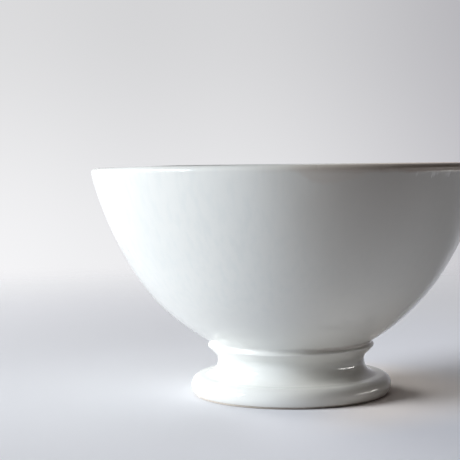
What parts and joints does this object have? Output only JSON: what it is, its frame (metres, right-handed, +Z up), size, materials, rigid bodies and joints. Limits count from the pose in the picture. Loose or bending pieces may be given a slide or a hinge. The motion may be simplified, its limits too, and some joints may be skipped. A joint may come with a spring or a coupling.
{
  "type": "latte bowl",
  "caption": "Deep round footed bowl of white glazed pottery, with a beaded collar, a grooved waist, a rounded base and a hollow foot.",
  "frame": {"origin": "centre of the standing ring, on the surface that the bowl stands on", "axes": "+Z up along the bowl's axis; the shape is round, so X and Y are free"},
  "size_m": [0.14, 0.14, 0.0817],
  "materials": {
    "clay": "fired, bare",
    "slip": "fired, bare",
    "glaze": "glossy, cool white"
  },
  "bodies": {
    "root": {"bowl_body": "clay", "pedestal_foot": "clay", "luting_slip": "slip", "glaze_coat": "glaze", "recess_glaze": "glaze"}
  },
  "joints": []
}
